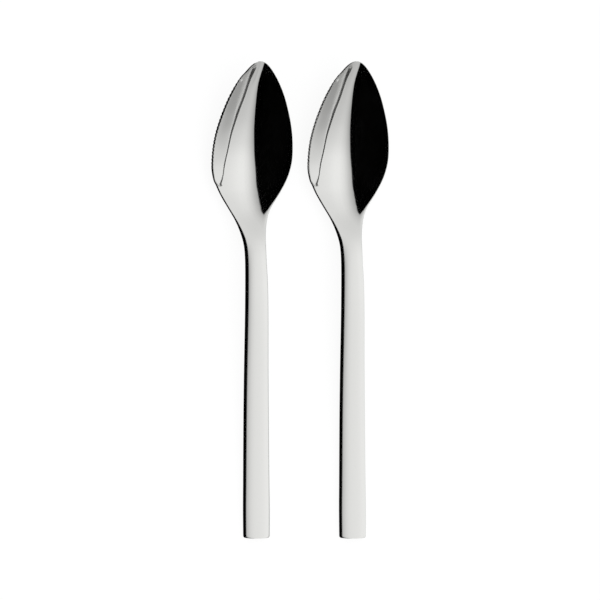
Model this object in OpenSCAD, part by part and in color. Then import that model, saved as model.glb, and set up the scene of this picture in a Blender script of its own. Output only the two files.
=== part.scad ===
// Pair of grapefruit spoons, laid side by side on a table. Millimetres, +Z up.
// Each spoon is one forging of polished stainless steel: a straight handle of
// rectangular section, a dipped neck, and a long pointed bowl. Its left rim is
// ground to a toothed cutting edge, with a flat facet inside the left wall.

/* [Handle] */
// Length of the handle, from its end to the narrowest point of the neck
handle_l = 98; // [80:1:130]
// Width of the handle near its end, where it is widest
handle_end_w = 9.85; // [7:0.05:14]
// Width of the handle at the narrowest point of the neck
handle_neck_w = 7.5; // [5:0.1:9]
// Thickness of the handle at its end
handle_end_t = 2.4; // [2:0.05:3.2]
// Thickness of the handle at the neck
handle_neck_t = 2.8; // [2.2:0.05:3.6]
// Height that the handle's top face is crowned
handle_crown = 0.19; // [0.1:0.01:0.3]
// Radius of the two corners at the handle's end, seen from above
end_corner_r = 0.7; // [0.5:0.1:2.5]
// How far the middle of the end stands out past its corners
end_bow = 0.4; // [0.2:0.1:1.5]
// Rounding of the long edges of the handle and of the rim
edge_r = 0.15; // [0.08:0.01:0.2]

/* [Bowl] */
// Length of the neck and the bowl, from the narrowest point to the tip
bowl_l = 72; // [60:1:90]
// Width of the bowl across the rim, at its widest
bowl_w = 32.3; // [28:0.1:38]
// Distance from the narrowest point of the neck to the widest point of the bowl
bowl_widest_at = 37.4; // [34:0.2:40]
// Depth of the bowl below its rim, at its deepest
bowl_depth = 5; // [4:0.1:7]
// Wall thickness at the middle of the bowl
wall_t = 1.4; // [1.2:0.05:1.8]
// Wall thickness at the rim
rim_t = 0.9; // [0.75:0.05:1.2]
// How far the rim dips below the line of the handle's top, behind the bowl
neck_dip = 5.7; // [3:0.1:7]
// How far the tip stands above the line of the handle's top
tip_rise = 2.4; // [0:0.1:4]

/* [Cutting edge] */
// Distance from one tooth to the next along the spoon
tooth_pitch = 1.28; // [1.1:0.02:2]
// Depth of the notch between two teeth
tooth_depth = 0.3; // [0.15:0.01:0.5]
// Depth of the step at the facet's inner border, over most of its upper half
step_depth = 0.6; // [0.3:0.01:0.7]
// Depth that the facet takes off the wall at the toothed rim, over most of its upper half
rim_sunk = 0.85; // [0.4:0.01:0.9]

/* [Pair] */
// Distance between the middle lines of the two spoons
spoon_spacing = 39.5; // [39.5:0.5:60]

/* [Hidden] */

overall_l = handle_l + bowl_l;
bowl_half_w = bowl_w / 2;
tip_l = bowl_l - bowl_widest_at;
steel_colour = [0.80, 0.80, 0.79];

// Stations are [share of the stretch, share of the size], joined by a smooth curve.
// Handle width, from the widest point at its end to the neck
handle_w_shares = [[0, 0.95], [0.03, 0.98], [0.11, 1], [0.20, 0.91], [0.37, 0.77], [0.51, 0.65],
                   [0.68, 0.47], [0.86, 0.29], [0.945, 0.15], [1, 0]];
// Growth of the rim from the neck's width to the bowl's, up to the widest point
shoulder_shares = [[0, 0], [0.13, 0.008], [0.24, 0.04], [0.39, 0.177], [0.54, 0.419],
                   [0.70, 0.726], [0.85, 0.943], [1, 1], [1.15, 0.943]];
// Fullness of the outline from the tip back to the widest point
tip_full_shares = [[0, 0.84], [0.17, 1.125], [0.34, 1.265], [0.5, 1.272], [0.67, 1.247],
                   [0.84, 1.147], [1, 1]];
// Dip of the rim below the handle's line, over the neck and the bowl
dip_shares = [[-1.36, 0], [-0.85, 0.03], [-0.55, 0.01], [-0.24, -0.06], [-0.09, -0.04],
              [0, 0.035], [0.08, 0.15], [0.125, 0.31], [0.17, 0.53], [0.22, 0.77], [0.27, 0.90],
              [0.32, 0.985], [0.36, 1], [0.40, 1]];
// Rise of the rim from the bottom of the dip to the tip
rise_shares = [[0.22, 0], [0.27, 0], [0.32, 0.03], [0.36, 0.065], [0.48, 0.235], [0.60, 0.38],
               [0.72, 0.555], [0.84, 0.735], [0.92, 0.86], [1, 1]];
// Depth of the bowl below the rim
depth_shares = [[0.10, 0], [0.20, 0.055], [0.25, 0.16], [0.285, 0.25], [0.335, 0.40],
                [0.41, 0.65], [0.485, 0.86], [0.55, 0.965], [0.63, 1], [0.70, 0.985],
                [0.80, 0.83], [0.88, 0.62], [0.94, 0.345], [0.97, 0.173], [1, 0]];
// How much rounder than a parabola the section is in its middle, flatter where below zero
round_shares = [[-0.05, -0.5], [0.20, 0.12], [0.54, 0.13], [0.62, 0.22], [0.70, 0.34],
                [0.78, 0.42], [0.87, 0.42], [0.91, 0.31], [0.95, 0.1], [1, 0.1]];
// Thickness at the middle line, from the neck's thickness to the bowl wall's
thin_shares = [[0, 0], [0.10, 0.08], [0.22, 0.5], [0.34, 0.92], [0.44, 1], [1, 1]];
// Distance of the step's foot from the middle line, in shares of half the bowl's width
border_shares = [[0.30, 0.88], [0.36, 0.79], [0.40, 0.701], [0.435, 0.658], [0.485, 0.612],
                 [0.56, 0.517], [0.61, 0.476], [0.66, 0.418], [0.71, 0.350], [0.76, 0.287],
                 [0.81, 0.218], [0.86, 0.173], [0.91, 0.138], [0.955, 0.096], [1, 0.066]];
// Depth of the step along the facet, which is deeper at its two ends
step_depth_shares = [[0, 0.95], [0.04, 0.65], [0.096, 0.36], [0.2, 0.48], [0.32, 0.5],
                     [0.405, 0.57], [0.49, 0.76], [0.577, 0.90], [0.66, 1.12], [0.75, 1.10],
                     [0.86, 1.12], [0.94, 1.25], [1, 1.4]];
// How far the grinding has set the left rim in along the bowl, in shares of the rim's thickness
ground_shares = [[0.24, 0], [0.27, -0.14], [0.33, -0.14], [0.36, -0.24], [0.385, -0.31],
                 [0.405, 0.17], [0.43, 0.4], [0.5, 0.5], [0.62, 0.5], [0.70, 0.64],
                 [0.87, 0.72], [0.905, 0.36], [0.94, 0.22], [0.975, 0]];
// How much thicker the left edge is, in the same shares
left_thicker_shares = [[0.32, 0], [0.36, -0.11], [0.39, 0], [0.43, 0.28], [0.5, 0.24],
                       [0.62, 0.28], [0.70, 0.49], [0.86, 0.56], [0.90, 0.18], [0.94, 0]];

// Stretches of the neck and bowl, from and to a share of their length, where something changes:
// the handle's crown fades out, the edges thin to the rim, and the flat underside turns round
crown_fade_shares = [0, 0.3];
edge_thin_shares = [0.09, 0.26];
underside_turn_shares = [-0.05, 0.25];
// The facet begins and ends, and its end slants towards the tip on the inner side
facet_start_share = 0.381;
facet_end_share = 0.956;
facet_end_slant_share = 0.023;
// Length over which each end comes to full depth: at the inner border and at the rim
start_fade_shares = [0.006, 0.03];
end_fade_shares = [0.013, 0.05];
// The rim is cut deeper in the facet's upper half, and the step grows wider
rim_start_share = 0.73;
rim_grow_shares = [0.39, 0.72];
step_grow_shares = [0.60, 0.78];
// The teeth begin and end
teeth_start_share = 0.47;
teeth_end_share = 0.965;
teeth_fade_in = 2;
teeth_fade_out = 1;

// Smallest distance of the facet's border from the rim, in shares of half the width: wide on
// the handle, where the facet isn't cut, and narrow at the facet's lower end
border_wide_share = 0.3;
border_narrow_share = 0.09;
border_narrowing_shares = [0.25, 0.38];
border_far_share = 0.5;
// Width of the step in shares of its depth, below and above, and at most this share of half the
// width
step_w_shares = [1.75, 3.3];
step_limit_share = 0.4;
// How much of the wall's own hollow the flat facet takes out
facet_flat_share = 1.1;
// The wall's underside follows the sunk rim by this share
rim_follow_share = 0.6;
// The rounding of an edge is at most these shares of the edge's thickness and of half the width
edge_t_share = 0.35;
edge_w_share = 0.35;
// The end's bow fades out over this share of the handle's width
bow_fade_share = 1.5;

// Slope at station i, from the stations on both sides of it
function slope(t, i) =
    let (a = max(i - 1, 0), b = min(i + 1, len(t) - 1))
    (t[b][1] - t[a][1]) / (t[b][0] - t[a][0]);

// Smooth curve through the stations, held level past both ends
function along(t, x, i = 0) =
    x <= t[0][0] ? t[0][1] :
    x >= t[len(t) - 1][0] ? t[len(t) - 1][1] :
    x > t[i + 1][0] ? along(t, x, i + 1) :
    let (h = t[i + 1][0] - t[i][0], q = (x - t[i][0]) / h,
         s0 = slope(t, i) * h, s1 = slope(t, i + 1) * h)
    t[i][1] * (1 + 2 * q) * (1 - q) * (1 - q) + s0 * q * (1 - q) * (1 - q)
    + t[i + 1][1] * q * q * (3 - 2 * q) - s1 * q * q * (1 - q);

// Smooth step from 0 to 1 as x goes over a stretch
function ease(stretch, x) =
    let (q = min(1, max(0, (x - stretch[0]) / (stretch[1] - stretch[0]))))
    q * q * (3 - 2 * q);

// s is the distance from the handle's end, in millimetres along the spoon
function bowl_share(s) = (s - handle_l) / bowl_l;

function corner_cut(s) =
    s >= end_corner_r ? 0 : end_corner_r - sqrt(end_corner_r ^ 2 - (end_corner_r - s) ^ 2);

function half_w(s) =
    s <= handle_l
    ? (handle_neck_w + (handle_end_w - handle_neck_w) * along(handle_w_shares, s / handle_l)) / 2
      - corner_cut(s)
    : s <= handle_l + bowl_widest_at
    ? (handle_neck_w + (bowl_w - handle_neck_w)
       * along(shoulder_shares, (s - handle_l) / bowl_widest_at)) / 2
    : let (r = (overall_l - s) / tip_l)
      bowl_half_w * sqrt(max(0, r * along(tip_full_shares, r)));

// Height of the rim and of the handle's top edges, from the line of the handle's top
function rim_z(s) =
    let (x = bowl_share(s))
    -neck_dip * along(dip_shares, x) + (neck_dip + tip_rise) * along(rise_shares, x);

// Depth below the rim at the middle line: below zero where the handle is crowned
function dish(s) =
    let (x = bowl_share(s))
    bowl_depth * along(depth_shares, x) - handle_crown * (1 - ease(crown_fade_shares, x));

function middle_t(s) =
    s <= handle_l ? handle_end_t + (handle_neck_t - handle_end_t) * s / handle_l
                  : handle_neck_t + (wall_t - handle_neck_t) * along(thin_shares, bowl_share(s));

function edge_t(s) =
    let (h = middle_t(s) - handle_crown)
    h + (rim_t - h) * ease(edge_thin_shares, bowl_share(s));

// 1 where the underside is flat, as on the handle, and 0 where it follows the bowl
function flatness(s) = 1 - ease(underside_turn_shares, bowl_share(s));

// Depth of the notch that the teeth leave at the left rim
teeth_start = handle_l + teeth_start_share * bowl_l;
teeth_count = floor((teeth_end_share - teeth_start_share) * bowl_l / tooth_pitch);
teeth_end = teeth_start + teeth_count * tooth_pitch;
function notch(s) =
    s <= teeth_start || s >= teeth_end ? 0
    : tooth_depth * (1 - sin(180 * ((s - teeth_start) / tooth_pitch % 1)))
      * ease([teeth_start, teeth_start + teeth_fade_in * tooth_pitch], s)
      * ease([teeth_end, teeth_end - teeth_fade_out * tooth_pitch], s);

// Share of the way along the facet, from its end near the handle
function facet_share(s) = (bowl_share(s) - facet_start_share) / (facet_end_share - facet_start_share);

// Depth of the step at the facet's inner border, and of the cut at the rim
function step_depth(s) = step_depth * along(step_depth_shares, facet_share(s));
function rim_depth(s) =
    rim_sunk * (rim_start_share + (1 - rim_start_share) * ease(rim_grow_shares, facet_share(s)));

// Length of a fade: a is 0 at the rim and 1 at the inner border
function fade(lengths, a) = lengths[0] + (lengths[1] - lengths[0]) * (1 - a) ^ 2;

// How deep the facet is cut: hollow is the height of the wall's own curve over the facet, which
// a flat facet takes out
function facet(s, a, hollow) =
    let (x = bowl_share(s), rim = rim_depth(s), border = step_depth(s),
         flat = min(facet_flat_share * hollow, (rim + border) / 2),
         from_end = x - facet_end_share - facet_end_slant_share * a)
    (rim + (border - rim) * a - 4 * a * (1 - a) * flat)
    * ease([facet_start_share, facet_start_share + fade(start_fade_shares, a)], x)
    * ease([0, -fade(end_fade_shares, a)], from_end);

// Where the points of a cross-section lie: over the facet, then from its step to the right rim
facet_point_shares = [0, 0.4, 0.75, 1];
floor_point_shares = [0, 0.13, 0.27, 0.42, 0.57, 0.72, 0.87, 1];
across = len(facet_point_shares) + len(floor_point_shares);

// Cross-section at s: the top from left to right, the right edge, the underside, the left edge
function ring(s) =
    let (w = half_w(s), d = dish(s), z0 = rim_z(s), c = along(round_shares, bowl_share(s)),
         at_rim = facet(s, 0, 0), te = edge_t(s),
         thicker = rim_t * along(left_thicker_shares, bowl_share(s)),
         wall = [middle_t(s), te + rim_follow_share * at_rim + thicker, te, flatness(s)],
         r = min(edge_r, edge_t_share * te, edge_w_share * w),
         left = -w + rim_t * along(ground_shares, bowl_share(s)) + notch(s) + r, right = w - r,
         near = border_wide_share + (border_narrow_share - border_wide_share)
                * ease(border_narrowing_shares, bowl_share(s)),
         wide = step_w_shares[0]
                + (step_w_shares[1] - step_w_shares[0]) * ease(step_grow_shares, facet_share(s)),
         step_w = min(wide * step_depth(s), step_limit_share * w),
         wanted = -bowl_half_w * along(border_shares, bowl_share(s)) - step_w,
         border = min(max(wanted, left + near * w), right - border_far_share * w - step_w),
         foot = border + step_w,
         hollow = fall((left + border) / 2, w, d, c) - (fall(left, w, d, c) + fall(border, w, d, c)) / 2,
         xs = concat([for (a = facet_point_shares) left + (border - left) * a],
                     [for (b = floor_point_shares) foot + (right - foot) * b]),
         depths = concat([for (a = facet_point_shares) facet(s, a, hollow)],
                         [for (b = floor_point_shares) 0]),
         top = [for (i = [0:across - 1]) on_top(xs[i], w, d, z0, c, depths[i])],
         under = [for (x = xs) on_underside(x, w, d, z0, c, wall)],
         rt = on_top(w, w, d, z0, c, 0), rb = on_underside(w, w, d, z0, c, wall),
         lt = on_top(left - r, w, d, z0, c, at_rim),
         lb = on_underside(left - r, w, d, z0, c, wall),
         ru = (rb - rt) * r / norm(rb - rt), lu = (lb - lt) * r / norm(lb - lt),
         section = concat(top, [rt + ru, rb - ru],
                          [for (i = [across - 1:-1:0]) under[i]], [lb - lu, lt + lu]))
    [for (p = section) [p[0], s + bow_back(s, p[0]), p[1]]];

// How far a point is set back from the end, which bows out in the middle
function bow_back(s, x) =
    end_bow * (2 * x / handle_end_w) ^ 2 * (1 - ease([0, bow_fade_share * handle_end_w], s));

// Fall of the top below the rim, rounder than a parabola by c, and the normal of the top
function fall(x, w, d, c) = d * (1 - (1 + c) * (x / w) ^ 2 + c * (x / w) ^ 4);
function normal(x, w, d, c) =
    let (m = d / w * (2 * (1 + c) * (x / w) - 4 * c * (x / w) ^ 3))
    [-m, 1] / norm([m, 1]);

// Point of the top surface, sunk by depth along the surface's normal
function on_top(x, w, d, z0, c, depth) = [x, z0 - fall(x, w, d, c)] - depth * normal(x, w, d, c);

// Point of the underside: a wall's thickness below the top, along the normal or straight down.
// The wall's numbers are its thickness in the middle, left and right, and how flat it is.
function on_underside(x, w, d, z0, c, wall) =
    let (t = wall[0] + ((x < 0 ? wall[1] : wall[2]) - wall[0]) * (x / w) ^ 2)
    wall[3] * [x, z0 - d - wall[0]] + (1 - wall[3]) * on_top(x, w, d, z0, c, t);

// Stations along the spoon: the rounded end, the handle, the neck, the teeth and the tip
corner_rings = 4;
handle_rings = 11;
rings_per_tooth = 3;
tip_rings = 9;
neck_from_share = 0.83;
neck_step_share = 0.028;
tip_flat_share = 0.008;
neck_from = neck_from_share * handle_l;
neck_rings = ceil((teeth_start - neck_from) / (neck_step_share * bowl_l));
tip_reach = overall_l - teeth_end;
stations = concat(
    [for (i = [0:corner_rings]) end_corner_r * (1 - cos(90 * i / corner_rings))],
    [for (i = [1:handle_rings]) neck_from * i / (handle_rings + 1)],
    [for (i = [0:neck_rings - 1]) neck_from + (teeth_start - neck_from) * i / neck_rings],
    [for (i = [0:rings_per_tooth * teeth_count]) teeth_start + i * tooth_pitch / rings_per_tooth],
    [for (i = [1:tip_rings]) overall_l - tip_reach * max((1 - i / tip_rings) ^ 2, tip_flat_share)]);

points = [for (s = stations) each ring(s)];
around = 2 * across + 4;

// Faces of the two ends, in strips from the top to the underside
function end_strips(base, flip) =
    let (under = function (i) base + 2 * across + 1 - i,
         strips = concat([for (i = [0:across - 2]) [base + i, base + i + 1, under(i + 1), under(i)]],
                         [[base + across - 1, base + across, base + across + 1, under(across - 1)],
                          [base, under(0), base + around - 2, base + around - 1]]))
    [for (f = strips) flip ? [f[3], f[2], f[1], f[0]] : f];

side_faces = [for (k = [0:len(stations) - 2], i = [0:around - 1])
              let (a = k * around + i, b = k * around + (i + 1) % around)
              each [[a, a + around, b], [b, a + around, b + around]]];
faces = concat(end_strips(0, false), side_faces, end_strips((len(stations) - 1) * around, true));

// At rest the spoon lies on its belly and on the underside of the handle's end
end_under = rim_z(0) + handle_crown - handle_end_t;
rest_tilt = max([for (p = points) if (p[1] > handle_l) atan2(end_under - p[2], p[1])]);
lying = [for (p = points) p[1] * cos(rest_tilt) - p[2] * sin(rest_tilt)];
middle_y = (max(lying) + min(lying)) / 2;
rest_z = -end_under * cos(rest_tilt);

module spoon() {
    color(steel_colour)
        translate([0, -middle_y, rest_z])
            rotate([rest_tilt, 0, 0])
                polyhedron(points = points, faces = faces);
}

module left_spoon() {
    translate([-spoon_spacing / 2, 0, 0]) spoon();
}

module right_spoon() {
    translate([spoon_spacing / 2, 0, 0]) spoon();
}

left_spoon();
right_spoon();
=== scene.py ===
"""Two grapefruit spoons of polished stainless steel, lying side by side on a pale table."""

import math

import bpy
import numpy as np
from mathutils import Matrix, Vector


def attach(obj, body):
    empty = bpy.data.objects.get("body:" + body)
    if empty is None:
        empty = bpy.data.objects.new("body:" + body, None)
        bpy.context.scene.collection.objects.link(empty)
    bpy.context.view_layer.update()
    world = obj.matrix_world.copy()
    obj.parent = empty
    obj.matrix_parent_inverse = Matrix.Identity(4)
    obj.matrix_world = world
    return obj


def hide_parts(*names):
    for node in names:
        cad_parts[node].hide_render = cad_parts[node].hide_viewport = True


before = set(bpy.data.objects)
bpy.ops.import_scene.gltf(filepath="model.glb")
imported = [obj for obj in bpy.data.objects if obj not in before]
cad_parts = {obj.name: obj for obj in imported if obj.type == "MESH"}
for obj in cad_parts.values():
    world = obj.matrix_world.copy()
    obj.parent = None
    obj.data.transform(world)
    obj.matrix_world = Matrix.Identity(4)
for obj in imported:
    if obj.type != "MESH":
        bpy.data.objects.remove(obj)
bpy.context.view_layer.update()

# The spoons
# A spoon is one forging of stainless steel: a straight handle of rectangular section, a dipped
# neck and a long pointed bowl. The shape is worked out ring by ring along its length, as the
# drop hammer's die gives it, in millimetres from the end of the handle.

MM = 0.001
HANDLE_L, BOWL_L = 98.0, 72.0
OVERALL_L = HANDLE_L + BOWL_L
HANDLE_END_W, HANDLE_NECK_W = 9.85, 7.5
HANDLE_END_T, HANDLE_NECK_T = 2.4, 2.8
HANDLE_CROWN = 0.19
END_CORNER_R, END_BOW = 0.7, 0.4
EDGE_R = 0.15
BOWL_W, BOWL_WIDEST_AT = 32.3, 37.4
BOWL_DEPTH = 5.0
WALL_T, RIM_T = 1.4, 0.9
NECK_DIP, TIP_RISE = 5.7, 2.4
SPOON_SPACING = 39.5

# Stations are (share of the stretch, share of the size) and are joined by a smooth curve. The
# stretch is the handle, the shoulder up to the bowl's widest place, the way back from the tip to
# that place, or else the whole neck and bowl, where shares below 0 lie on the handle.
HANDLE_W_SHARES = [(0, 0.95), (0.03, 0.98), (0.11, 1), (0.20, 0.91), (0.37, 0.77), (0.51, 0.65),
                   (0.68, 0.47), (0.86, 0.29), (0.945, 0.15), (1, 0)]
SHOULDER_SHARES = [(0, 0), (0.13, 0.008), (0.24, 0.04), (0.39, 0.177), (0.54, 0.419),
                   (0.70, 0.726), (0.85, 0.943), (1, 1), (1.15, 0.943)]
TIP_FULL_SHARES = [(0, 0.84), (0.17, 1.125), (0.34, 1.265), (0.5, 1.272), (0.67, 1.247),
                   (0.84, 1.147), (1, 1)]
DIP_SHARES = [(-1.36, 0), (-0.85, 0.03), (-0.55, 0.01), (-0.24, -0.06), (-0.09, -0.04),
              (0, 0.035), (0.08, 0.15), (0.125, 0.31), (0.17, 0.53), (0.22, 0.77), (0.27, 0.90),
              (0.32, 0.985), (0.36, 1), (0.40, 1)]
RISE_SHARES = [(0.22, 0), (0.27, 0), (0.32, 0.03), (0.36, 0.065), (0.48, 0.235), (0.60, 0.38),
               (0.72, 0.555), (0.84, 0.735), (0.92, 0.86), (1, 1)]
DEPTH_SHARES = [(0.10, 0), (0.20, 0.055), (0.25, 0.16), (0.285, 0.25), (0.335, 0.40), (0.41, 0.65),
                (0.485, 0.86), (0.55, 0.965), (0.63, 1), (0.70, 0.985), (0.80, 0.83),
                (0.88, 0.62), (0.94, 0.345), (0.97, 0.173), (1, 0)]
THIN_SHARES = [(0, 0), (0.10, 0.08), (0.22, 0.5), (0.34, 0.92), (0.44, 1), (1, 1)]
# How much rounder than a plain curve the bowl's section is, and where the facet's step lies, in
# shares of half the bowl's width
ROUND_SHARES = [(-0.05, -0.5), (0.20, 0.12), (0.54, 0.13), (0.62, 0.22), (0.70, 0.34),
                (0.78, 0.42), (0.87, 0.42), (0.91, 0.31), (0.95, 0.1), (1, 0.1)]
BORDER_SHARES = [(0.30, 0.88), (0.36, 0.79), (0.40, 0.701), (0.435, 0.658), (0.485, 0.612),
                 (0.56, 0.517), (0.61, 0.476), (0.66, 0.418), (0.71, 0.350), (0.76, 0.287),
                 (0.81, 0.216), (0.86, 0.167), (0.91, 0.132), (0.955, 0.092), (1, 0.064)]
# What the grinding and polishing of the rims leaves, in millimetres: the right edge's rounding,
# how far the right and left rims are set in, and how much thicker the left edge is
RIGHT_ROUND = [(0, 0.15), (0.10, 0.4), (0.17, 0.9), (0.24, 1.65), (0.27, 1.6), (0.30, 1.0),
               (0.33, 0.6), (0.38, 0.42), (0.46, 0.42), (0.50, 0.15), (0.93, 0.15),
               (0.97, 0.42), (1, 0.5)]
RIGHT_IN = [(0.20, 0), (0.245, 0.3), (0.272, 0.42), (0.295, 0.2), (0.32, 0.05), (0.35, 0.04),
            (0.39, 0.1), (0.43, 0.17), (0.47, 0.21), (0.50, 0.05), (0.53, 0)]
LEFT_IN = [(0.24, 0), (0.27, -0.13), (0.33, -0.13), (0.36, -0.2), (0.385, -0.2), (0.405, 0.15),
           (0.43, 0.4), (0.5, 0.49), (0.62, 0.53), (0.69, 0.74), (0.81, 0.83), (0.87, 0.76),
           (0.905, 0.38), (0.94, 0.25), (0.975, 0)]
LEFT_THICKER = [(0.32, 0), (0.36, -0.1), (0.39, 0), (0.43, 0.25), (0.5, 0.24), (0.62, 0.3),
                (0.70, 0.5), (0.81, 0.62), (0.87, 0.56), (0.905, 0.2), (0.94, 0)]
# Stretches of the neck and bowl where something changes, as shares from and to
CROWN_FADES, EDGE_THINS, UNDERSIDE_ROUNDS = (0, 0.3), (0.09, 0.26), (-0.05, 0.25)
# Least width of the facet, in shares of half the spoon's width, which narrows at the shoulder
FACET_WIDE, FACET_NARROW, FACET_NARROWS = 0.3, 0.09, (0.25, 0.38)


def along(stations, share):
    """The smooth curve through the stations, held level past both ends."""
    at, value = np.array(stations, float).T
    before = np.r_[0, np.arange(len(at) - 1)]
    after = np.r_[np.arange(1, len(at)), len(at) - 1]
    slope = (value[after] - value[before]) / (at[after] - at[before])
    inside = np.clip(share, at[0], at[-1])
    i = np.clip(np.searchsorted(at, inside) - 1, 0, len(at) - 2)
    gap = at[i + 1] - at[i]
    q = (inside - at[i]) / gap
    return (value[i] * (1 + 2 * q) * (1 - q) ** 2 + slope[i] * gap * q * (1 - q) ** 2
            + value[i + 1] * q * q * (3 - 2 * q) - slope[i + 1] * gap * q * q * (1 - q))


def ease(start, end, x):
    """Goes smoothly from 0 at the start to 1 at the end."""
    q = np.clip((x - start) / (end - start), 0, 1)
    return q * q * (3 - 2 * q)


# Each size is worked out every tenth of a millimetre along the spoon and then faired, as a
# die maker does, so that the polished surface shows no ripples
GRID_STEP, FAIRING, FAIRING_REACH = 0.1, 2.2, 4
grid = np.arange(0, OVERALL_L + GRID_STEP / 2, GRID_STEP)
grid_share = (grid - HANDLE_L) / BOWL_L


def faired(values):
    """The size at any distance, averaged over a bell that leaves slow bends as they are."""
    reach = int(FAIRING_REACH * FAIRING / GRID_STEP)
    at = np.arange(-reach, reach + 1) * GRID_STEP / FAIRING
    bell = np.exp(-0.5 * at ** 2) * (3 - at ** 2)
    bell /= bell.sum()
    before = 2 * values[0] - values[reach:0:-1]
    after = 2 * values[-1] - values[-2:-reach - 2:-1]
    smooth = np.convolve(np.r_[before, values, after], bell, mode="valid")
    return lambda s: np.interp(s, grid, smooth)


handle_w = HANDLE_NECK_W + (HANDLE_END_W - HANDLE_NECK_W) * along(
    HANDLE_W_SHARES, grid / HANDLE_L)
shoulder_w = HANDLE_NECK_W + (BOWL_W - HANDLE_NECK_W) * along(
    SHOULDER_SHARES, (grid - HANDLE_L) / BOWL_WIDEST_AT)
left_over = np.clip((OVERALL_L - grid) / (BOWL_L - BOWL_WIDEST_AT), 0, 1)
tip_w_squared = BOWL_W ** 2 * left_over * along(TIP_FULL_SHARES, left_over)
width_squared = faired(np.where(grid <= HANDLE_L, handle_w ** 2, np.where(
    grid <= HANDLE_L + BOWL_WIDEST_AT, shoulder_w ** 2, tip_w_squared)))
rim_height = faired(-NECK_DIP * along(DIP_SHARES, grid_share)
                    + (NECK_DIP + TIP_RISE) * along(RISE_SHARES, grid_share))
dish = faired(BOWL_DEPTH * along(DEPTH_SHARES, grid_share)
              - HANDLE_CROWN * (1 - ease(*CROWN_FADES, grid_share)))
handle_t = HANDLE_END_T + (HANDLE_NECK_T - HANDLE_END_T) * grid / HANDLE_L
bowl_t = HANDLE_NECK_T + (WALL_T - HANDLE_NECK_T) * along(THIN_SHARES, grid_share)
middle_t = np.where(grid <= HANDLE_L, handle_t, bowl_t)
middle_thickness = faired(middle_t)
edge_thickness = faired(middle_t - HANDLE_CROWN + (RIM_T - middle_t + HANDLE_CROWN)
                        * ease(*EDGE_THINS, grid_share))
flatness = faired(1 - ease(*UNDERSIDE_ROUNDS, grid_share))
roundness = faired(along(ROUND_SHARES, grid_share))
border = faired(along(BORDER_SHARES, grid_share))
least_facet = faired(FACET_WIDE + (FACET_NARROW - FACET_WIDE) * ease(*FACET_NARROWS, grid_share))
right_round = faired(along(RIGHT_ROUND, grid_share))
right_in = faired(along(RIGHT_IN, grid_share))
left_in = faired(along(LEFT_IN, grid_share))
left_thicker = faired(along(LEFT_THICKER, grid_share))


def half_width(s):
    """Half the spoon's width, with the corners of the handle's end rounded off."""
    corner = np.clip(END_CORNER_R - s, 0, END_CORNER_R)
    cut = END_CORNER_R - np.sqrt(END_CORNER_R ** 2 - corner ** 2)
    return np.sqrt(np.clip(width_squared(s), 0, None)) / 2 - cut


# The facet is ground flat across the inside of the left wall, from the toothed rim to a small
# step. Its depths are measured square to the wall, and the step's width in shares of its depth.
STEP_DEPTH, RIM_SUNK = 0.68, 0.85
STEP_DEPTH_SHARES = [(0, 0.95), (0.04, 0.65), (0.096, 0.36), (0.2, 0.48), (0.32, 0.5),
                     (0.405, 0.57), (0.49, 0.76), (0.577, 0.90), (0.66, 1.12), (0.75, 1.10),
                     (0.86, 1.12), (0.94, 1.25), (1, 1.4)]
RIM_START_SHARE, RIM_DEEPENS = 0.73, (0.39, 0.72)
FACET_FLAT_SHARE = 1.1
STEP_W_SHARE, STEP_W_TIP_SHARE, STEP_WIDENS = 1.95, 3.5, (0.60, 0.78)
STEP_FOOT, STEP_FOOT_TIP = 1.2, 2.5
FACET_START, FACET_END, FACET_END_SLANT = 0.381, 0.956, 0.023
FACET_FADE, FACET_RIM_FADE = (0.006, 0.013), (0.03, 0.05)
RIM_FOLLOW = 0.6
# The step is never wider than this share of half the spoon's width, and the floor of the bowl
# never narrower than that one
STEP_W_MOST, FLOOR_W_LEAST = 0.4, 0.5
# An edge is rounded by at most this share of its thickness or of half the width
EDGE_R_MOST = 0.35


def facet_share(s):
    """Share of the way from the facet's lower end to its upper end."""
    return ((s - HANDLE_L) / BOWL_L - FACET_START) / (FACET_END - FACET_START)


def step_depth(s):
    """How deep the facet lies at the step."""
    return STEP_DEPTH * along(STEP_DEPTH_SHARES, facet_share(s))


def sunk_rim(s):
    """How deep the facet lies at the rim."""
    deeper = ease(*RIM_DEEPENS, facet_share(s))
    return RIM_SUNK * (RIM_START_SHARE + (1 - RIM_START_SHARE) * deeper)


def facet_depth(s, across, rise):
    """Depth at a share of the way from the rim to the step; rise is the wall's own hollow."""
    share = (s - HANDLE_L) / BOWL_L
    fade_in, fade_out = [inner + (rim - inner) * (1 - across) ** 2
                         for inner, rim in zip(FACET_FADE, FACET_RIM_FADE)]
    ends = (ease(FACET_START, FACET_START + fade_in, share)
            * ease(0, -fade_out, share - FACET_END - FACET_END_SLANT * across))
    slant = sunk_rim(s) + (step_depth(s) - sunk_rim(s)) * across
    flat = min(FACET_FLAT_SHARE * rise, (sunk_rim(s) + step_depth(s)) / 2)
    return (slant - 4 * across * (1 - across) * flat) * ends


# The rim's teeth are cut last, by a cutter that leaves rounded teeth with a sharp root. The row
# starts and ends at a share of the neck and bowl, and is cut this deep and this far inwards.
TOOTH_PITCH, TOOTH_DEPTH, TOOTH_REACH = 1.28, 0.3, 1.0
TEETH_FROM, TEETH_TO = 0.47, 0.965
TEETH = math.floor((TEETH_TO - TEETH_FROM) * BOWL_L / TOOTH_PITCH)
TEETH_START = HANDLE_L + TEETH_FROM * BOWL_L
TEETH_END = TEETH_START + TOOTH_PITCH * TEETH

# Stretches of rings, from, to and apart in millimetres, then how many there are at the handle's
# end, in each tooth and at the tip, where the last one is very small but not yet a point
RING_STRETCHES = [(2, 86, 2), (86, 124.8, 0.5), (125, 127, 0.1), (127, TEETH_START - 0.3, 0.5)]
END_RINGS, TOOTH_RINGS, TIP_RINGS, LAST_RING_SHARE = 10, 9, 24, 0.0008
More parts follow.
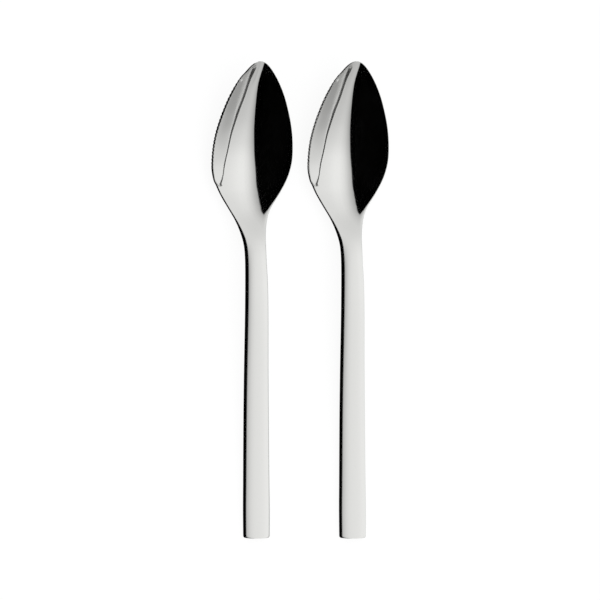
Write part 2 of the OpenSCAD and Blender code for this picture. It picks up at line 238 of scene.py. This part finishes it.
# Points in each part of a ring. The facet's are closer together towards the rim.
FACET_POINTS, STEP_POINTS, FLOOR_POINTS, UNDER_POINTS, EDGE_POINTS = 16, 14, 34, 44, 4
FACET_CROWDING = 1.4
# The end of the handle is bowed, which fades out over this many of its widths
BOW_FADE = 1.5
# The felt wheel can't reach into the step, which stays duller. The dullness fades over this many
# points, and where the step is lower than this share of its depth.
DULL_FADE, DULL_FULL_SHARE = 2, 0.3


def ring_places():
    """Distances of the rings from the handle's end, closer where the shape turns faster."""
    end = END_CORNER_R * (1 - np.cos(np.linspace(0, math.pi / 2, END_RINGS + 1)))
    plain = [np.arange(*stretch) for stretch in RING_STRETCHES]
    teeth = TEETH_START + TOOTH_PITCH / TOOTH_RINGS * np.arange(TOOTH_RINGS * TEETH)
    to_tip = np.maximum(np.linspace(1, 0, TIP_RINGS + 1) ** 2, LAST_RING_SHARE)
    return np.concatenate([end, *plain, teeth, OVERALL_L - (OVERALL_L - TEETH_END) * to_tip])


def section(x, bowl):
    """Height and slope of the spoon's upper face before the facet is ground."""
    w, depth, rim, rounder = bowl
    u = x / w
    fall = depth * (1 - (1 + rounder) * u ** 2 + rounder * u ** 4)
    return rim - fall, depth / w * (2 * (1 + rounder) * u - 4 * rounder * u ** 3)


def below(x, bowl, depth):
    """A point at a depth below the upper face, measured square to it."""
    height, slope = section(x, bowl)
    long = math.hypot(slope, 1)
    return np.array([x + slope / long * depth, height - depth / long])


def underside(x, bowl, wall):
    """A point of the underside, which is flat under the handle and follows the bowl."""
    w, depth, rim, _ = bowl
    middle, edge, left_edge, flat = wall
    thick = middle + ((left_edge if x < 0 else edge) - middle) * (x / w) ** 2
    return flat * np.array([x, rim - depth - middle]) + (1 - flat) * below(x, bowl, thick)


def rounded_edge(inside_a, corner, inside_b):
    """Points of a small rounding between two surfaces that would meet at a corner."""
    return [(1 - q) ** 2 * inside_a + 2 * q * (1 - q) * corner + q * q * inside_b
            for q in np.linspace(0, 1, EDGE_POINTS + 1)]


def ring(s):
    """One closed cross-section, with the cutter's way and the dullness at each point."""
    w = half_width(s)
    bowl = (w, dish(s), rim_height(s), roundness(s))
    edge, rim_sunk = edge_thickness(s), facet_depth(s, 0, 0)
    left_edge = edge + RIM_FOLLOW * rim_sunk + left_thicker(s)
    wall = (middle_thickness(s), edge, left_edge, flatness(s))
    left_w, right_w = w - left_in(s), w - right_in(s)
    r = min(EDGE_R, EDGE_R_MOST * edge, EDGE_R_MOST * w)
    left, right = -left_w + r, right_w - max(r, min(right_round(s), EDGE_R_MOST * w))

    # The facet, the step, the floor of the bowl and the underside
    grown = ease(*STEP_WIDENS, facet_share(s))
    foot = STEP_FOOT + (STEP_FOOT_TIP - STEP_FOOT) * grown
    step_w = (STEP_W_SHARE + (STEP_W_TIP_SHARE - STEP_W_SHARE) * grown) * step_depth(s)
    step_w = min(step_w, STEP_W_MOST * w)
    inner = max(-BOWL_W / 2 * border(s) - step_w, left + least_facet(s) * w)
    inner = min(inner, right - FLOOR_W_LEAST * w - step_w)
    inner_sunk, floor = facet_depth(s, 1, 0), inner + step_w
    heights = [section(x, bowl)[0] for x in (left, (left + inner) / 2, inner)]
    rise = (heights[0] + heights[2]) / 2 - heights[1]
    top = [below(left + (inner - left) * a, bowl, facet_depth(s, a, rise))
           for a in np.linspace(0, 1, FACET_POINTS) ** FACET_CROWDING]
    top += [below(inner + step_w * a, bowl, inner_sunk * (1 - ease(0, 1, a ** foot)))
            for a in np.linspace(0, 1, STEP_POINTS + 1)[1:-1]]
    top += [below(floor + (right - floor) * a, bowl, 0) for a in np.linspace(0, 1, FLOOR_POINTS)]
    under = [underside(right + (left - right) * a, bowl, wall)
             for a in np.linspace(0, 1, UNDER_POINTS)]

    # The edges
    right_top, right_under = below(right_w, bowl, 0), underside(right_w, bowl, wall)
    left_top, left_under = below(-left_w, bowl, rim_sunk), underside(-left_w, bowl, wall)
    down_right = (right_under - right_top) * r / np.linalg.norm(right_under - right_top)
    down_left = (left_under - left_top) * r / np.linalg.norm(left_under - left_top)
    points = np.array(
        top[:-1]
        + rounded_edge(top[-1], right_top, right_top + down_right)
        + rounded_edge(right_under - down_right, right_under, under[0])
        + under[1:-1]
        + rounded_edge(under[-1], left_under, left_under - down_left)
        + rounded_edge(left_top + down_left, left_top, top[0])[:-1])
    across, height = points.T
    bow = END_BOW * (2 * across / HANDLE_END_W) ** 2 * (1 - ease(0, BOW_FADE * HANDLE_END_W, s))
    place = np.column_stack([across, s + bow, height])

    # The cutter goes inwards, towards the facet's fourth point, and its reach fades from the rim
    reach = np.clip(1 - (across - across.min()) / TOOTH_REACH, 0, 1)
    inward = (top[3] - top[0]) / np.linalg.norm(top[3] - top[0])
    cut = np.column_stack([reach * inward[0], 0 * reach, reach * inward[1]])

    step_middle = FACET_POINTS + STEP_POINTS / 2 - 1
    off_step = np.abs(np.arange(len(points)) - step_middle) - STEP_POINTS / 2
    full = min(1, inner_sunk / (DULL_FULL_SHARE * STEP_DEPTH))
    return place, cut, ease(DULL_FADE, -DULL_FADE, off_step) * full


def lying_flat(points):
    """Turns and moves the spoon so that it rests on its belly and on the end of its handle."""
    end_under = rim_height(0) + HANDLE_CROWN - HANDLE_END_T
    belly = points[points[:, 1] > HANDLE_L]
    tilt = np.max(np.arctan2(end_under - belly[:, 2], belly[:, 1]))
    cosine, sine = math.cos(tilt), math.sin(tilt)
    turned = np.column_stack([points[:, 0], points[:, 1] * cosine - points[:, 2] * sine,
                              points[:, 1] * sine + points[:, 2] * cosine])
    turned[:, 1] -= (turned[:, 1].max() + turned[:, 1].min()) / 2
    turned[:, 2] -= end_under * cosine
    return turned, Matrix.Rotation(tilt, 3, "X")


places = ring_places()
rings = [ring(s) for s in places]
around = len(rings[0][0])
raw, cuts, dullness = [np.concatenate(values) for values in zip(*rings)]
distances = np.repeat(places, around)
resting, resting_turn = lying_flat(raw)
cuts = cuts @ np.array(resting_turn).T


def spoon_mesh(name, x):
    """The forged spoon before its teeth are cut, with the cutter's directions as attributes."""
    last = (len(places) - 1) * around
    faces = []
    for base in range(0, last, around):
        for i in range(around):
            a, b = base + i, base + (i + 1) % around
            faces.append((a, b, b + around, a + around))
    faces += [tuple(range(around)), tuple(reversed(range(last, last + around)))]
    mesh = bpy.data.meshes.new(name)
    mesh.from_pydata(((resting + [x, 0, 0]) * MM).tolist(), [], faces)
    mesh.update()
    mesh.attributes.new("along", "FLOAT", "POINT").data.foreach_set("value", distances * MM)
    mesh.attributes.new("cut", "FLOAT_VECTOR", "POINT").data.foreach_set("vector", cuts.ravel())
    mesh.attributes.new("dull_line", "FLOAT", "POINT").data.foreach_set("value", dullness)
    mesh.shade_smooth()
    return mesh


def linear(hex_colour):
    """Turns an sRGB hex colour into linear red, green, blue and alpha."""
    channels = [int(hex_colour[i:i + 2], 16) / 255 for i in (0, 2, 4)]
    return [c / 12.92 if c <= 0.04045 else ((c + 0.055) / 1.055) ** 2.4 for c in channels] + [1]


def add(tree, kind, inputs=(), **settings):
    """Adds a node with its settings. Its inputs, by name or in order, are set or linked."""
    node = tree.nodes.new(kind)
    for name, value in settings.items():
        setattr(node, name, value)
    for key, value in inputs.items() if isinstance(inputs, dict) else enumerate(inputs):
        if isinstance(value, bpy.types.Node):
            value = value.outputs[0]
        if isinstance(value, bpy.types.NodeSocket):
            tree.links.new(value, node.inputs[key])
        else:
            node.inputs[key].default_value = value
    return node


# Mirror-polished 18/10 stainless steel. Felt wheels leave it bright, with faint lines along the
# spoon and a little less shine where it is handled.
STEEL = "CFCFCD"
LINE_SPACING, LINE_LENGTH, LINE_HEIGHT, LINE_STRENGTH = 0.25, 20, 0.001, 0.6
PATCHES_PER_METRE = 65.0
PATCH_FROM, PATCH_TO = 0.3, 0.7
POLISHED, RUBBED, STEP_DULL = 0.03, 0.06, 0.28
polished_steel = bpy.data.materials.new("polished_stainless_steel")
polished_steel.use_nodes = True
tree = polished_steel.node_tree
shader = tree.nodes["Principled BSDF"]
shader.inputs["Metallic"].default_value = 1
shader.inputs["Base Color"].default_value = linear(STEEL)
on_spoon = add(tree, "ShaderNodeTexCoord").outputs["Object"]

# The wheel's lines, about 20 mm long. Real ones are a few hundredths of a millimetre apart, and
# these are 0.25 mm apart, so that they show.
per_metre = [1 / (LINE_SPACING * MM), 1 / (LINE_LENGTH * MM), 1 / (LINE_SPACING * MM)]
stretched = add(tree, "ShaderNodeMapping", {"Vector": on_spoon, "Scale": per_metre})
wheel_lines = add(tree, "ShaderNodeTexNoise", {"Vector": stretched, "Scale": 1.0, "Detail": 2.0})
relief = add(tree, "ShaderNodeBump", {"Height": wheel_lines, "Strength": LINE_STRENGTH,
                                      "Distance": LINE_HEIGHT * MM})
tree.links.new(relief.outputs[0], shader.inputs["Normal"])

# Patches some 15 mm across that are a little duller, where fingers and cloths rub the steel, and
# the step, which the wheel didn't reach
patches = add(tree, "ShaderNodeTexNoise",
              {"Vector": on_spoon, "Scale": PATCHES_PER_METRE, "Detail": 3.0})
shine = add(tree, "ShaderNodeMapRange", {"Value": patches, "From Min": PATCH_FROM,
                                         "From Max": PATCH_TO, "To Min": POLISHED,
                                         "To Max": RUBBED})
dull_line = add(tree, "ShaderNodeAttribute", attribute_name="dull_line").outputs["Fac"]
roughness = add(tree, "ShaderNodeMath", [dull_line, STEP_DULL, shine], operation="MULTIPLY_ADD")
tree.links.new(roughness.outputs[0], shader.inputs["Roughness"])

# The row's first teeth grow to their full depth over this many of them
GROWING_TEETH = 2.0


def teeth_cutter():
    """Geometry nodes that cut the row of teeth into the left rim."""
    tree = bpy.data.node_groups.new("teeth_cutter", "GeometryNodeTree")
    for name, kind in (("Spoon", "Geometry"), ("Pitch", "Float"), ("Depth", "Float"),
                       ("Start", "Float"), ("End", "Float"), ("Steel", "Material")):
        tree.interface.new_socket(name, in_out="INPUT", socket_type="NodeSocket" + kind)
    tree.interface.new_socket("Spoon", in_out="OUTPUT", socket_type="NodeSocketGeometry")
    given = add(tree, "NodeGroupInput").outputs
    place = add(tree, "GeometryNodeInputNamedAttribute", {"Name": "along"},
                data_type="FLOAT").outputs["Attribute"]
    inward = add(tree, "GeometryNodeInputNamedAttribute", {"Name": "cut"},
                 data_type="FLOAT_VECTOR").outputs["Attribute"]

    # A tooth is half a wave, as deep as the cutter's notch on both sides of it
    past_start = add(tree, "ShaderNodeMath", [place, given["Start"]], operation="SUBTRACT")
    teeth = add(tree, "ShaderNodeMath", [past_start, given["Pitch"]], operation="DIVIDE")
    half_waves = add(tree, "ShaderNodeMath", [teeth, math.pi], operation="MULTIPLY")
    wave = add(tree, "ShaderNodeMath", [half_waves], operation="SINE")
    crest = add(tree, "ShaderNodeMath", [wave], operation="ABSOLUTE")
    gap = add(tree, "ShaderNodeMath", [1.0, crest], operation="SUBTRACT")
    notch = add(tree, "ShaderNodeMath", [gap, given["Depth"]], operation="MULTIPLY")

    # The first teeth grow, and the last one fades out
    growing = add(tree, "ShaderNodeMath", [teeth, GROWING_TEETH], operation="DIVIDE",
                  use_clamp=True)
    before_end = add(tree, "ShaderNodeMath", [given["End"], place], operation="SUBTRACT")
    fading = add(tree, "ShaderNodeMath", [before_end, given["Pitch"]], operation="DIVIDE",
                 use_clamp=True)
    grown = add(tree, "ShaderNodeMath", [notch, growing], operation="MULTIPLY")
    faded = add(tree, "ShaderNodeMath", [grown, fading], operation="MULTIPLY")
    move = add(tree, "ShaderNodeVectorMath", {0: inward, "Scale": faded}, operation="SCALE")
    cut = add(tree, "GeometryNodeSetPosition", {"Geometry": given["Spoon"], "Offset": move})
    real = add(tree, "GeometryNodeRealizeInstances", [cut])
    steel = add(tree, "GeometryNodeSetMaterial", {"Geometry": real, "Material": given["Steel"]})
    add(tree, "NodeGroupOutput", [steel])
    return tree


scene = bpy.context.scene
cutter = teeth_cutter()


def make_spoon(name, node, x):
    """A finished spoon that stands for its CAD node and moves with its body."""
    blank = bpy.data.objects.new(name + "_blank", spoon_mesh(name + "_blank", x))
    scene.collection.objects.link(blank)
    modifier = blank.modifiers.new("teeth", "NODES")
    modifier.node_group = cutter
    values = {"Pitch": TOOTH_PITCH * MM, "Depth": TOOTH_DEPTH * MM, "Start": TEETH_START * MM,
              "End": TEETH_END * MM, "Steel": polished_steel}
    for item in cutter.interface.items_tree:
        if item.in_out == "INPUT" and item.name in values:
            modifier[item.identifier] = values[item.name]
    evaluated = blank.evaluated_get(bpy.context.evaluated_depsgraph_get())
    mesh = bpy.data.meshes.new_from_object(evaluated)
    mesh.name = name
    bpy.data.objects.remove(blank)
    for attribute in ("along", "cut"):
        mesh.attributes.remove(mesh.attributes[attribute])
    spoon = bpy.data.objects.new(name, mesh)
    scene.collection.objects.link(spoon)
    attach(spoon, node)
    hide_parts(node)


make_spoon("left_grapefruit_spoon", "left_spoon", -SPOON_SPACING / 2)
make_spoon("right_grapefruit_spoon", "right_spoon", SPOON_SPACING / 2)

# The table
# A large sheet of matt white paper, as in a studio, that the spoons lie on. Most of its light is
# a glow of its own, so that it is white in the picture and still keeps a soft shadow.

TABLE_SIZE = 3.0
TABLE_GLOW, TABLE_WHITE = 0.90, 0.12


def bare_material(name):
    """A material whose nodes are still to be added."""
    material = bpy.data.materials.new(name)
    material.use_nodes = True
    material.node_tree.nodes.clear()
    return material


bpy.ops.mesh.primitive_plane_add(size=TABLE_SIZE, location=(0, 0, 0))
table = bpy.context.object
table.name = "table"
paper = bare_material("white_paper")
tree = paper.node_tree
matt = add(tree, "ShaderNodeBsdfDiffuse", {"Color": [TABLE_WHITE] * 3 + [1]})
glow = add(tree, "ShaderNodeEmission", {"Strength": TABLE_GLOW})
both = add(tree, "ShaderNodeAddShader", [matt, glow])
add(tree, "ShaderNodeOutputMaterial", {"Surface": both})
table.data.materials.append(paper)

# The cards
# Matt black cards lie on the left of each spoon, as in a studio, so that the handle's side and the
# toothed rim are dark against the white table. A grey one lies on the right of the pair, and dims
# the right side faces. Only the steel sees the cards.

CARD_NEAR, CARD_FAR, CARD_HEIGHT = -95, 150, 0.02
CARD_REACH, BETWEEN_FROM = 1400, -14
CARD_COLOURS = {"black_card": "050505", "grey_card": "9B9B9B"}
CARDS = [(-CARD_REACH, -SPOON_SPACING / 2, "black_card"),
         (BETWEEN_FROM, SPOON_SPACING / 2, "black_card"),
         (SPOON_SPACING / 2, CARD_REACH, "grey_card")]


def steel_sees(name, x_span, y_span, height, material):
    """A level sheet that only the steel sees."""
    (left, right), (near, far) = x_span, y_span
    corners = [(left, near), (right, near), (right, far), (left, far)]
    mesh = bpy.data.meshes.new(name)
    mesh.from_pydata([(x * MM, y * MM, height * MM) for x, y in corners], [], [(0, 1, 2, 3)])
    mesh.materials.append(material)
    sheet = bpy.data.objects.new(name, mesh)
    scene.collection.objects.link(sheet)
    sheet.visible_camera = sheet.visible_diffuse = sheet.visible_shadow = False
    sheet.visible_transmission = False


card_stock = {}
for name, colour in CARD_COLOURS.items():
    card_stock[name] = bare_material(name)
    tree = card_stock[name].node_tree
    matt = add(tree, "ShaderNodeBsdfDiffuse", {"Color": linear(colour)})
    add(tree, "ShaderNodeOutputMaterial", {"Surface": matt})
for left_side, right_side, name in CARDS:
    steel_sees(name, (left_side, right_side), (CARD_NEAR, CARD_FAR), CARD_HEIGHT,
               card_stock[name])

# The light strips
# A narrow lit strip hangs over each handle, so that the steel there is bright from straight
# above and from both ends too. Only the steel sees it.

STRIP_HALF_W, STRIP_NEAR, STRIP_FAR, STRIP_HEIGHT = 5.5, -175, 36, 37
STRIP_GLOW = 0.69
strip_light = bare_material("strip_light")
tree = strip_light.node_tree
lamp = add(tree, "ShaderNodeEmission", {"Strength": STRIP_GLOW})
add(tree, "ShaderNodeOutputMaterial", {"Surface": lamp})
for middle in (-SPOON_SPACING / 2, SPOON_SPACING / 2):
    steel_sees("light_strip", (middle - STRIP_HALF_W, middle + STRIP_HALF_W),
               (STRIP_NEAR, STRIP_FAR), STRIP_HEIGHT, strip_light)

# The light
# A long softbox fills the sky on the right, up to the slanting edge of a black flag that covers
# the rest of the sky. Weaker lights stand low on the left and beyond both ends of the spoons. The
# camera sees white, and the table is lit evenly from all over.

# The softbox's brightness by the angle above the right horizon, in degrees, and by the
# direction's share along the spoons
OVER = [(-30, 0.40), (0, 0.63), (5, 0.69), (9, 0.81), (15, 1.015), (22, 1.14), (28, 1.173),
        (36, 1.222), (46, 1.29), (54, 1.29), (62, 1.185), (66, 1.08), (69, 0.975), (71, 0.905),
        (73.5, 0.80), (90, 0.60)]
ALONG = [(-1, 0.60), (-0.8, 0.62), (-0.65, 0.64), (-0.5, 0.675), (-0.4, 0.735), (-0.3, 0.805),
         (-0.2, 0.90), (-0.1, 0.975), (0, 1), (0.1, 0.985), (0.2, 0.948), (0.3, 0.925),
         (0.45, 0.875), (0.6, 0.803), (0.8, 0.67), (1, 0.5)]
# The flag's edge, in hundreds of degrees above the right horizon, and the softbox's brightness by
# the degrees below that edge
FLAG_EDGE = [(-1, 0.59), (-0.83, 0.58), (-0.76, 0.632), (-0.67, 0.683), (-0.56, 0.714),
             (-0.47, 0.729), (-0.39, 0.732), (-0.1, 0.744), (0.05, 0.747), (0.18, 0.758),
             (0.33, 0.755), (0.44, 0.742), (0.51, 0.713), (0.6, 0.685), (1, 0.68)]
BELOW_EDGE = [(0, 0), (0.8, 0.78), (2, 0.86), (5, 0.91), (9, 0.955), (14, 0.985), (20, 1)]
FLAG_EDGE_UNIT = 100.0
# The softbox ends straight below the spoons
STRAIGHT_DOWN = -90.0
# The low light on the left starts at this angle from the right horizon, is full so many degrees
# further on, and has this brightness
LEFT_EDGE, LEFT_FADE, LEFT_GLOW = 148.0, 9.0, 0.85
# The lights beyond the ends, by the direction's share along the spoons
ENDS = [(-1, 0.68), (-0.95, 0.66), (-0.89, 0), (0.55, 0), (0.68, 0.7), (1, 0.69)]

world = bpy.data.worlds.new("studio")
scene.world = world
world.use_nodes = True
tree = world.node_tree
tree.nodes.clear()


def dimmer(value, stops):
    """A brightness that changes steadily with a value, from stops of (value, brightness)."""
    low, high = stops[0][0], stops[-1][0]
    share = add(tree, "ShaderNodeMapRange", {"Value": value, "From Min": low, "From Max": high})
    ramp = add(tree, "ShaderNodeValToRGB", [share])
    elements = ramp.color_ramp.elements
    while len(elements) < len(stops):
        elements.new(0.5)
    for element, (at, strength) in zip(elements, stops):
        element.position = (at - low) / (high - low)
        element.color = [strength, strength, strength, 1]
    return ramp


direction = add(tree, "ShaderNodeTexCoord").outputs["Generated"]
axes = add(tree, "ShaderNodeSeparateXYZ", [direction]).outputs
radians = add(tree, "ShaderNodeMath", [axes["Z"], axes["X"]], operation="ARCTAN2")
sweep = add(tree, "ShaderNodeMath", [radians], operation="DEGREES")
flag_edge = add(tree, "ShaderNodeMath", [dimmer(axes["Y"], FLAG_EDGE), FLAG_EDGE_UNIT],
                operation="MULTIPLY")
below_edge = add(tree, "ShaderNodeMath", [flag_edge, sweep], operation="SUBTRACT")
on_right = add(tree, "ShaderNodeMath", [sweep, STRAIGHT_DOWN], operation="GREATER_THAN")
softbox = dimmer(sweep, OVER)
for part in (dimmer(axes["Y"], ALONG), dimmer(below_edge, BELOW_EDGE), on_right):
    softbox = add(tree, "ShaderNodeMath", [softbox, part], operation="MULTIPLY")
off_right = add(tree, "ShaderNodeMath", [sweep], operation="ABSOLUTE")
past_edge = add(tree, "ShaderNodeMath", [off_right, LEFT_EDGE], operation="SUBTRACT")
left_share = add(tree, "ShaderNodeMath", [past_edge, LEFT_FADE], operation="DIVIDE",
                 use_clamp=True)
low_left = add(tree, "ShaderNodeMath", [left_share, LEFT_GLOW], operation="MULTIPLY")
lit = softbox
for light in (low_left, dimmer(axes["Y"], ENDS)):
    lit = add(tree, "ShaderNodeMath", [lit, light], operation="MAXIMUM")
white = [1, 1, 1, 1]
rays = add(tree, "ShaderNodeLightPath").outputs
seen = add(tree, "ShaderNodeBackground", {"Color": white, "Strength": 1.0})
reflected = add(tree, "ShaderNodeBackground", {"Color": white, "Strength": lit})
by_ray = add(tree, "ShaderNodeMixShader", [rays["Is Glossy Ray"], seen, reflected])
add(tree, "ShaderNodeOutputWorld", {"Surface": by_ray})

# The camera
# It looks down on the spoons from their left, square to the handles. It is so far off that the
# spoons show no perspective.

VIEW_TILT = math.radians(30)
MM_PER_PIXEL = 0.3562
PICTURE_PIXELS = 600
CENTRE_RIGHT, CENTRE_UP = 1.31, 0.41
DISTANCE = 1.5
towards = resting_turn @ Vector((-math.sin(VIEW_TILT), 0, math.cos(VIEW_TILT)))
rightwards = resting_turn @ Vector((math.cos(VIEW_TILT), 0, math.sin(VIEW_TILT)))
upwards = resting_turn @ Vector((0, 1, 0))
camera_data = bpy.data.cameras.new("camera")
camera_data.type = "ORTHO"
camera_data.ortho_scale = PICTURE_PIXELS * MM_PER_PIXEL * MM
camera = bpy.data.objects.new("camera", camera_data)
scene.collection.objects.link(camera)
pose = Matrix((rightwards, upwards, towards)).transposed().to_4x4()
pose.translation = (rightwards * CENTRE_RIGHT + upwards * CENTRE_UP) * MM + towards * DISTANCE
camera.matrix_world = pose
scene.camera = camera

scene.view_settings.view_transform = "Standard"
